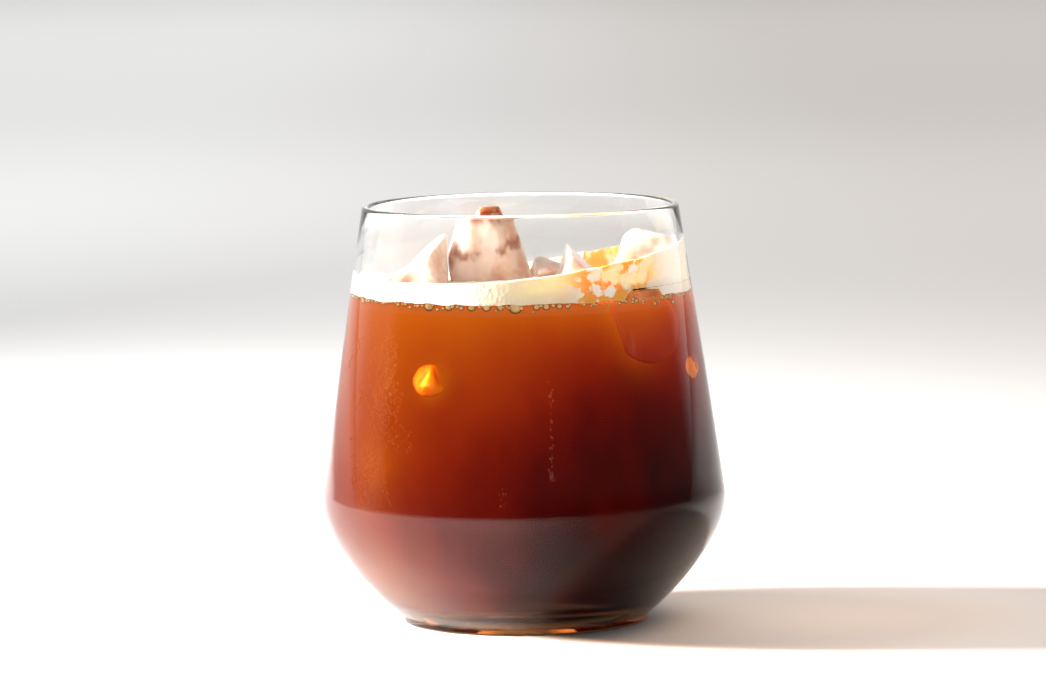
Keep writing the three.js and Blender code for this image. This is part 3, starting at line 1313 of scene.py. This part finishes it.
@dataclass
class Coffee:
    """The drink: a clear outer layer that reaches just into the glass, round a cloudy middle."""

    level: float = 0.0733
    meniscus_rise: float = 0.0019
    meniscus_reach: float = 0.0022
    meniscus_steps: int = 10
    meniscus_span: float = 2.5
    reach_into_wall: float = 0.00025
    clear_layer: float = 0.0012
    floor_layer: float = 0.0004
    liquid_overlap: float = 0.0013
    liquid_film: float = 0.0020
    core_overlap: float = 0.0010
    core_film: float = 0.0018
    segments: int = 160
    glows: tuple[Glow, ...] = (
        # Painted light: glows where light comes through sunk ice near the wall.
        Glow((-0.0205, -0.0350, 0.0565), 0.0036, (0.45, 0.20, 0.0)),
        Glow((0.0375, -0.0130, 0.0565), 0.0024, (0.38, 0.12, 0.0)),
        Glow((-0.0325, -0.0260, 0.0380), 0.0060, (0.16, 0.06, 0.0)),
        Glow((0.0250, -0.0280, 0.0640), 0.0060, (0.14, 0.05, 0.0)),
        Glow((0.0240, -0.0290, 0.0725), 0.0050, (0.34, 0.17, 0.01)),
        # Painted reflection: the bright floor mirrored low on the left of the belly, painted as a glow.
        Glow((-0.0265, -0.0170, 0.0090), 0.0140, (0.20, 0.23, 0.22)),
    )

    def surface(self, edge: float, top: float) -> list[Point]:
        """Outline of the surface from the wall in to the axis, with the meniscus.

        Args:
            edge: The radius at the wall.
            top: The height of the meniscus's edge.

        Returns:
            The points after the edge.
        """
        points = []
        rise = top - self.level
        for step in range(1, self.meniscus_steps + 1):
            inward = self.meniscus_span * self.meniscus_reach * step / self.meniscus_steps
            height = self.level + rise * math.exp(-inward / (self.meniscus_reach / 2))
            points.append((edge - inward, height))
        points[-1] = (points[-1][0], self.level)
        points.append((0.0, self.level))
        return points

    def build(self, tumbler: Tumbler, ice: IceHeap) -> list[bpy.types.Object]:
        """Make the clear layer and the cloudy middle, both cut round the ice.

        Args:
            tumbler: The glass that holds them.
            ice: The chunks that stand in them.

        Returns:
            Both pieces.
        """
        top = self.level + self.meniscus_rise
        outline = tumbler.inside(top, -self.reach_into_wall)
        outline += self.surface(outline[-1][0], top)
        liquid = Workbench.spin("cold_coffee", outline, self.segments)
        Workbench.cut_round(liquid, ice.cutters(-self.liquid_overlap, tumbler, self.liquid_film))
        Workbench.smooth(liquid)
        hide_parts("coffee")
        Workbench.finish(liquid, LiquidFinish().material(), Slot.COFFEE)
        core_top = self.level - self.clear_layer
        outline = tumbler.inside(core_top, self.clear_layer, self.floor_layer)
        core = Workbench.spin("cloudy_middle", outline + [(0.0, core_top)], self.segments)
        Workbench.cut_round(core, ice.cutters(-self.core_overlap, tumbler, self.core_film))
        Workbench.smooth(core)
        cloudy = TurbidFinish(CoffeeLight(self.level), glows=self.glows)
        Workbench.finish(core, cloudy.material(), Slot.COFFEE)
        return [liquid, core]


@dataclass
class Froth:
    """The pale froth that floats on the coffee and clings to the wall above it."""

    level: float
    thickness: float = 0.0009
    sunk: float = 0.0003
    cling: float = 0.0007
    cling_top: float = 0.0850
    segments: int = 144
    left_height: float = 0.0778
    right_height: float = 0.0843
    front_height: float = 0.0784
    back_height: float = 0.0758
    unevenness: float = 0.0006
    lump_size: float = 0.0045
    reach_into_wall: float = 0.00015
    foot_rise: float = 0.002
    foot_reach: float = 0.0022
    grid: float = 0.0009
    ice_overlap: float = 0.0003
    crease: float = 60.0

    def build(self, tumbler: Tumbler, ice: IceHeap) -> bpy.types.Object:
        """Make the froth, cut round the ice.

        Args:
            tumbler: The glass that it clings to.
            ice: The chunks that stand through it.

        Returns:
            The froth.
        """
        low = self.level - self.sunk
        high = self.level + self.thickness
        above = high + self.foot_rise
        edge = tumbler.inner(self.cling_top)
        points = [(0.0, low), (tumbler.inner(low) + self.reach_into_wall, low)]
        points.append((edge + self.reach_into_wall, self.cling_top))
        points.append((edge - self.cling / 2, self.cling_top))
        points.append((tumbler.inner(above) - self.cling, above))
        points.append((tumbler.inner(high) - self.foot_reach, high))
        points.append((0.0, high))
        piece = Workbench.spin("froth", self.fine(points, self.grid), self.segments)
        self.trim(piece, tumbler)
        texture = bpy.data.textures.new("froth_lumps", "CLOUDS")
        texture.noise_scale = self.lump_size
        texture.noise_depth = 2
        displace = piece.modifiers.new("lumps", "DISPLACE")
        displace.texture = texture
        displace.texture_coords = "LOCAL"
        displace.direction = "Z"
        displace.strength = self.unevenness * 2
        displace.mid_level = 0.5
        Workbench.apply_modifiers(piece)
        Workbench.cut_round(piece, ice.cutters(-self.ice_overlap))
        Workbench.smooth(piece, self.crease)
        return Workbench.finish(piece, FrothFinish().material(), Slot.COFFEE)

    @staticmethod
    def fine(points: Sequence[Point], step: float) -> list[Point]:
        """Split an outline's long stretches, so that it can be made uneven.

        Args:
            points: The outline.
            step: The longest stretch allowed.

        Returns:
            The finer outline.
        """
        result = [points[0]]
        for (r0, z0), (r1, z1) in zip(points, points[1:]):
            count = max(1, math.ceil(math.hypot(r1 - r0, z1 - z0) / step))
            for i in range(1, count + 1):
                result.append((r0 + (r1 - r0) * i / count, z0 + (z1 - z0) * i / count))
        return result

    def trim(self, piece: bpy.types.Object, tumbler: Tumbler) -> None:
        """Cut the clinging film's top edge down to two sloping planes.

        Args:
            piece: The froth.
            tumbler: The glass.
        """
        half = tumbler.inner(self.level)
        middle = (self.left_height + self.right_height) / 2
        along = Vector((2 * half, 0.0, self.right_height - self.left_height))
        blocks = []
        for side, height in ((-1.0, self.front_height), (1.0, self.back_height)):
            across = Vector((0.0, side * half, height - middle))
            outward = (along.cross(across) * side).normalized()
            blocks.append(Workbench.block_beyond(Vector((0.0, 0.0, middle)), outward))
        Workbench.cut_round(piece, blocks)


@dataclass
class BubbleRing:
    """Bubbles where the coffee meets the glass, the largest in front, and finer ones on the froth."""

    level: float
    rise: float = -0.0009
    large: tuple[tuple[float, float], ...] = (
        (-19.9, 2.6), (-15.6, 2.0), (-10.7, 2.0), (-7.5, 2.0), (-4.5, 1.7), (-1.3, 3.5),
        (3.2, 1.7), (5.3, 1.7), (8.1, 1.5))
    small_count: int = 230
    small_size: Point = (0.0005, 0.0012)
    small_height: Point = (0.0002, 0.0004)
    front_arc: Point = (-168, -12)
    back_arc: Point = (-12, 192)
    front_share: float = 0.7
    squash: float = 0.94
    touch: float = 0.95
    crease: float = 80.0
    seed: int = 29

    def master(self) -> bpy.types.Object:
        """Model one bubble of radius 1, a little flattened.

        Returns:
            The bubble.
        """
        Workbench.clear_selection()
        bpy.ops.mesh.primitive_ico_sphere_add(subdivisions=3, radius=1.0)
        piece = Workbench.take("bubble")
        Workbench.edit(piece)
        bpy.ops.transform.resize(value=(1.0, 1.0, self.squash))
        bpy.ops.object.mode_set(mode="OBJECT")
        Workbench.smooth(piece, self.crease)
        return piece

    def build(self, tumbler: Tumbler) -> bpy.types.Object:
        """Make the ring of bubbles.

        Args:
            tumbler: The glass.

        Returns:
            The bubbles as one piece.
        """
        draw = random.Random(self.seed)
        reach = tumbler.inner(self.level)
        places = []
        for x, size in self.large:
            angle = -math.acos(x / 1000 / reach)
            places.append(self.place(reach, angle, size / 2000, self.level + self.rise))
        for _ in range(self.small_count):
            arc = self.front_arc if draw.random() < self.front_share else self.back_arc
            angle = math.radians(draw.uniform(*arc))
            radius = draw.uniform(*self.small_size) / 2
            height = self.level + self.rise + draw.gauss(*self.small_height)
            places.append(self.place(reach, angle, radius, height))
        piece = Workbench.scatter("bubbles", self.master(), places)
        # Painted light: a glowing cream skin with a painted dark rim.
        finish = DropFinish("bubble_skin", tint=(1.0, 0.60, 0.24), edge=(0.24, 0.06, 0.0),
                            roughness=0.05, ior=1.1, glow=0.7, lit=0.15)
        return Workbench.finish(piece, finish.material(), Slot.COFFEE)

    def place(self, reach: float, angle: float, radius: float, height: float) -> Matrix:
        """Say where one bubble goes.

        Args:
            reach: Inner radius of the glass there.
            angle: Way round the glass.
            radius: The bubble's radius.
            height: The height of its middle.

        Returns:
            Its place and size.
        """
        distance = reach - radius * self.touch
        at = Vector((distance * math.cos(angle), distance * math.sin(angle), height))
        return Matrix.Translation(at) @ Matrix.Scale(radius, 4)


@dataclass
class Condensation:
    """Fine drops on the outside of the glass: a branching patch on the left and two short trails."""

    drop_size: Point = (0.00006, 0.00020)
    branches: int = 46
    branch_drops: int = 36
    patch_angles: Point = (214.0, 226.0)
    patch_heights: Point = (0.030, 0.071)
    trail_x: float = 0.0059
    trail_heights: Point = (0.036, 0.057)
    short_trail_x: float = -0.0046
    short_trail_heights: Point = (0.0305, 0.0345)
    trail_drops: int = 60
    short_trail_drops: int = 9
    trail_width: float = 0.00035
    trail_crowding: float = 1.4
    trail_growth: float = 1.15
    trail_tallness: Point = (1.0, 2.0)
    branch_drift: float = 0.16
    branch_sway: float = 0.8
    branch_step: Point = (0.0001, 0.0006)
    branch_tallness: Point = (0.8, 1.6)
    flat_side: float = -0.25
    flatness: float = 0.6
    stand_off: float = 0.1
    crease: float = 60.0
    seed: int = 12

    def master(self) -> bpy.types.Object:
        """Model one drop of radius 1, flat on the side that clings.

        Returns:
            The drop, its flat side towards -X.
        """
        Workbench.clear_selection()
        bpy.ops.mesh.primitive_ico_sphere_add(subdivisions=2, radius=1.0)
        piece = Workbench.take("drop")
        Workbench.bisect(piece, Vector((self.flat_side, 0.0, 0.0)), Vector((-1.0, 0.0, 0.0)))
        Workbench.edit(piece)
        bpy.ops.transform.resize(value=(self.flatness, 1.0, 1.0))
        bpy.ops.object.mode_set(mode="OBJECT")
        Workbench.smooth(piece, self.crease)
        return piece

    def place(self, tumbler: Tumbler, angle: float, height: float, radius: float, tall: float) -> Matrix:
        """Say where one drop goes on the outer wall.

        Args:
            tumbler: The glass.
            angle: Way round the glass in degrees.
            height: Height above the table.
            radius: The drop's radius.
            tall: How much taller than wide it is.

        Returns:
            Its place, size and turn.
        """
        turn = Matrix.Rotation(math.radians(angle), 4, "Z")
        lean = Matrix.Rotation(-math.atan(tumbler.wall_lean), 4, "Y")
        distance = tumbler.outer_anywhere(height) + radius * self.stand_off
        out = Matrix.Translation((distance, 0.0, height))
        return turn @ out @ lean @ Matrix.Diagonal((radius, radius, radius * tall, 1.0))

    def build(self, tumbler: Tumbler) -> bpy.types.Object:
        """Make all the drops.

        Args:
            tumbler: The glass that they cling to.

        Returns:
            The drops as one piece.
        """
        draw = random.Random(self.seed)
        places = []
        for _ in range(self.branches):
            angle = draw.uniform(*self.patch_angles)
            height = draw.uniform(*self.patch_heights)
            drift = draw.gauss(0.0, self.branch_drift)
            for _ in range(self.branch_drops):
                angle += drift + draw.gauss(0.0, self.branch_sway)
                height -= draw.uniform(*self.branch_step)
                if height < self.patch_heights[0]:
                    break
                radius = draw.uniform(*self.drop_size)
                tall = draw.uniform(*self.branch_tallness)
                places.append(self.place(tumbler, angle, height, radius, tall))
        for x, (low, high), count in (
                (self.trail_x, self.trail_heights, self.trail_drops),
                (self.short_trail_x, self.short_trail_heights, self.short_trail_drops)):
            for _ in range(count):
                height = low + (high - low) * draw.random() ** self.trail_crowding
                across = x + draw.gauss(0.0, self.trail_width)
                angle = 270.0 + math.degrees(math.asin(across / tumbler.outer(height)))
                radius = draw.uniform(*self.drop_size) * self.trail_growth
                tall = draw.uniform(*self.trail_tallness)
                places.append(self.place(tumbler, angle, height, radius, tall))
        piece = Workbench.scatter("condensation", self.master(), places)
        # Painted light: the coffee's painted colour through the drops, with a painted dark rim.
        finish = DropFinish("condensed_water", tint=(0.10, 0.05, 0.03), edge=(0.04, 0.02, 0.01),
                            roughness=0.5, ior=1.05, glow=0.8, lit=0.06, tone=CoffeeLight(Coffee.level))
        return Workbench.finish(piece, finish.material(), Slot.GLASS)


@dataclass
class SunkIce:
    """Smaller chunks wholly under the surface, close behind the glass, which pass the light on: painted as
    glowing orange.
    """

    chunks: tuple[Chunk, ...] = (
        Chunk("sunk_ice_left", (-0.0191, -0.0303, 0.0565), (0.0042, 0.0052, 0.0040),
              ((200, 30, 3.3), (320, 20, 3.4), (90, 70, 3.2), (250, -40, 4.2), (30, -60, 3.4))),
        Chunk("sunk_ice_right", (0.0348, -0.0120, 0.0565), (0.0036, 0.0040, 0.0030),
              ((0, 50, 2.6), (300, -30, 3.0), (120, 40, 2.8), (200, 10, 3.0))),
    )
    crease: float = 60.0

    def build(self, heap: IceHeap) -> list[bpy.types.Object]:
        """Make the sunk chunks.

        Args:
            heap: The heap whose wear they share.

        Returns:
            The chunks.
        """
        # Painted light: the sunk chunks glow orange and fade at their edges into the coffee's painted
        # light.
        finish = IceFinish(CoffeeLight(Coffee.level), pale=(0.80, 0.20, 0.002), stain=(0.70, 0.14, 0.001),
                           glow=0.75, sunk_glow=0.8, transmission=0.0, painted_rim_fade=True)
        pieces = []
        for chunk in self.chunks:
            piece = chunk.body(chunk.name)
            heap.weather(piece)
            Workbench.smooth(piece, self.crease)
            pieces.append(Workbench.finish(piece, finish.material(chunk.name), Slot.ICE))
        return pieces


@dataclass
class Lamp:
    """A soft rectangular lamp that points at a place."""

    name: str
    at: tuple[float, float, float]
    towards: tuple[float, float, float]
    size: Point
    power: float
    colour: Colour
    spread: float = 180.0
    only_lights: bool = False

    def build(self) -> bpy.types.Object:
        """Make the lamp.

        Returns:
            The lamp's object.
        """
        data = bpy.data.lights.new(self.name, "AREA")
        data.shape = "RECTANGLE"
        data.size, data.size_y = self.size
        data.energy = self.power
        data.color = self.colour
        lamp = bpy.data.objects.new(self.name, data)
        bpy.context.scene.collection.objects.link(lamp)
        lamp.location = self.at
        direction = Vector(self.towards) - Vector(self.at)
        lamp.rotation_euler = direction.to_track_quat("-Z", "Y").to_euler()
        data.spread = math.radians(self.spread)
        lamp.visible_camera = False
        lamp.visible_glossy = not self.only_lights
        lamp.visible_transmission = not self.only_lights
        return lamp


@dataclass
class Studio:
    """A pale floor, painted greyer further back and on the right as painted shade of the falling light, a
    window-like lamp on the left and soft fill.
    """

    floor_size: float = 14.0
    near: Colour = (0.88, 0.87, 0.86)
    far_left: Colour = (0.80, 0.80, 0.795)
    shaded_far_right: Colour = (0.61, 0.58, 0.555)
    ambient: Colour = (0.44, 0.42, 0.40)
    ambient_top: Colour = (0.34, 0.34, 0.34)
    ambient_front: Colour = (0.06, 0.05, 0.045)
    ambient_back: Colour = (0.95, 0.94, 0.93)
    seen: Colour = (0.74, 0.72, 0.70)
    floor_cuts: int = 6
    painted_shade_sides: Point = (-0.25, 0.25)
    painted_falloff_slant: float = 1.4
    painted_falloff: Point = (-0.05, 0.55)
    floor_roughness: float = 0.9
    cloth: Patches = Patches(3.0, 1.2)
    cloth_share: float = 0.03
    ambient_turn: float = -0.317
    ambient_side: Point = (0.26, 0.46)
    ambient_behind: Point = (0.35, 0.75)
    ambient_high: Point = (0.30, 0.55)
    seen_through: Point = (1.0, 3.0)
    bounces: int = 16
    clear_bounces: int = 24
    brightest_bounce: float = 4.0
    lamps: tuple[Lamp, ...] = (
        Lamp("window", (-0.50, 0.05, 0.24), (-0.02, 0.0, 0.0), (0.07, 0.17), 14.0,
             (1.0, 0.99, 0.97), 130.0),
        Lamp("high_window", (-0.72, 0.10, 0.95), (0.0, -0.02, 0.0), (0.25, 0.25), 0.6,
             (1.0, 0.99, 0.97), 72.0),
        Lamp("through_the_coffee", (0.078, -0.006, 0.10), (0.072, -0.012, 0.0), (0.04, 0.04), 0.02,
             (1.0, 0.60, 0.34), 120.0, True),
        Lamp("backdrop", (0.0, 2.8, 2.0), (0.0, 2.8, 0.0), (5.0, 3.4), 64.0, (1.0, 1.0, 1.0)),
        Lamp("near_backdrop", (0.0, 1.10, 0.8), (0.0, 1.10, 0.0), (4.0, 0.8), 4.6,
             (1.0, 1.0, 1.0), 115.0, True),
    )

    def floor(self) -> bpy.types.Object:
        """Make the floor.

        Returns:
            The floor.
        """
        Workbench.clear_selection()
        bpy.ops.mesh.primitive_plane_add(size=self.floor_size, location=(0, 0, 0))
        piece = Workbench.take("floor")
        Workbench.edit(piece)
        bpy.ops.mesh.subdivide(number_cuts=self.floor_cuts)
        bpy.ops.object.mode_set(mode="OBJECT")
        material, desk, shader, _ = new_material("pale_floor")
        place = desk.place()
        x, y, _ = desk.axes(place)
        # Painted shade: the floor is painted greyer further back and on the right, as if the light fell off
        # there.
        cloth = desk.math("MULTIPLY", self.cloth.mask(desk, place), self.cloth_share)
        far = desk.blend(desk.span(x, *self.painted_shade_sides), self.far_left, self.shaded_far_right)
        falloff = desk.math("MULTIPLY_ADD", x, self.painted_falloff_slant, y)
        colour = desk.blend(desk.span(falloff, *self.painted_falloff), self.near, far)
        colour = desk.blend(cloth, colour, far)
        desk.put(shader.inputs["Base Color"], colour)
        desk.put(shader.inputs["Roughness"], self.floor_roughness)
        desk.put(shader.inputs["IOR"], 1.0)
        piece.data.materials.append(material)
        return piece

    def world(self) -> None:
        """Set the soft light from all round."""
        world = bpy.data.worlds.new("studio")
        world.use_nodes = True
        world.node_tree.nodes.clear()
        desk = NodeDesk(world.node_tree)
        light_path = desk.tree.nodes.new("ShaderNodeLightPath")
        way = desk.tree.nodes.new("ShaderNodeTexCoord").outputs["Generated"]
        across, behind, up = desk.axes(way)
        side = desk.math("MULTIPLY_ADD", across, self.ambient_turn, behind)
        through = desk.span(light_path.outputs["Transmission Depth"], *self.seen_through)
        lit = desk.math("MAXIMUM", desk.span(side, *self.ambient_side), through)
        around = desk.blend(lit, self.ambient_front, self.ambient)
        around = desk.blend(desk.span(behind, *self.ambient_behind), around, self.ambient_back)
        around = desk.blend(desk.span(up, *self.ambient_high), around, self.ambient_top)
        colour = desk.blend(light_path.outputs["Is Camera Ray"], around, self.seen)
        background = desk.add("ShaderNodeBackground", Color=colour)
        desk.add("ShaderNodeOutputWorld", Surface=background.outputs[0])
        bpy.context.scene.world = world

    def build(self) -> None:
        """Make the floor, the lamps and the light from all round."""
        self.floor()
        self.world()
        for lamp in self.lamps:
            lamp.build()
        scene = bpy.context.scene
        scene.view_settings.view_transform = "Standard"
        scene.view_settings.look = "None"
        scene.cycles.caustics_reflective = False
        scene.cycles.caustics_refractive = False
        scene.cycles.max_bounces = self.bounces
        scene.cycles.transmission_bounces = self.bounces
        scene.cycles.transparent_max_bounces = self.clear_bounces
        scene.cycles.sample_clamp_indirect = self.brightest_bounce


@dataclass
class Viewpoint:
    """The camera: where the photograph was taken from, and how far its lens reached."""

    at: tuple[float, float, float] = (0.00017, -1.1179, 0.177)
    look_down: float = 5.98
    roll: float = -0.91
    focal_pixels: float = 5100.0
    photo_width: float = 1046.0
    sensor: float = 36.0
    nearest: float = 0.05
    farthest: float = 50.0

    def build(self) -> bpy.types.Object:
        """Make the camera and set it as the scene's.

        Returns:
            The camera.
        """
        down = math.radians(self.look_down)
        forward = Vector((0.0, math.cos(down), -math.sin(down)))
        level = Vector((1.0, 0.0, 0.0))
        upright = level.cross(forward)
        roll = math.radians(self.roll)
        right = level * math.cos(roll) + upright * math.sin(roll)
        up = upright * math.cos(roll) - level * math.sin(roll)
        data = bpy.data.cameras.new("viewpoint")
        data.sensor_width = self.sensor
        data.lens = self.focal_pixels / self.photo_width * self.sensor
        data.clip_start = self.nearest
        data.clip_end = self.farthest
        camera = bpy.data.objects.new("viewpoint", data)
        bpy.context.scene.collection.objects.link(camera)
        turn = Matrix((right, up, -forward)).transposed().to_4x4()
        camera.matrix_world = Matrix.Translation(self.at) @ turn
        bpy.context.scene.camera = camera
        return camera


def main() -> None:
    """Build every sub-assembly in order."""
    logging.basicConfig(level=logging.INFO, format="%(message)s")
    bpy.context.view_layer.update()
    Viewpoint().build()
    Studio().build()
    tumbler = Tumbler()
    coffee = Coffee()
    heap = IceHeap(coffee.level)
    tumbler.build(coffee.level)
    coffee.build(tumbler, heap)
    heap.build(tumbler)
    SunkIce().build(heap)
    Froth(coffee.level).build(tumbler, heap)
    BubbleRing(coffee.level).build(tumbler)
    Condensation().build(tumbler)


if __name__ == "__main__":
    main()
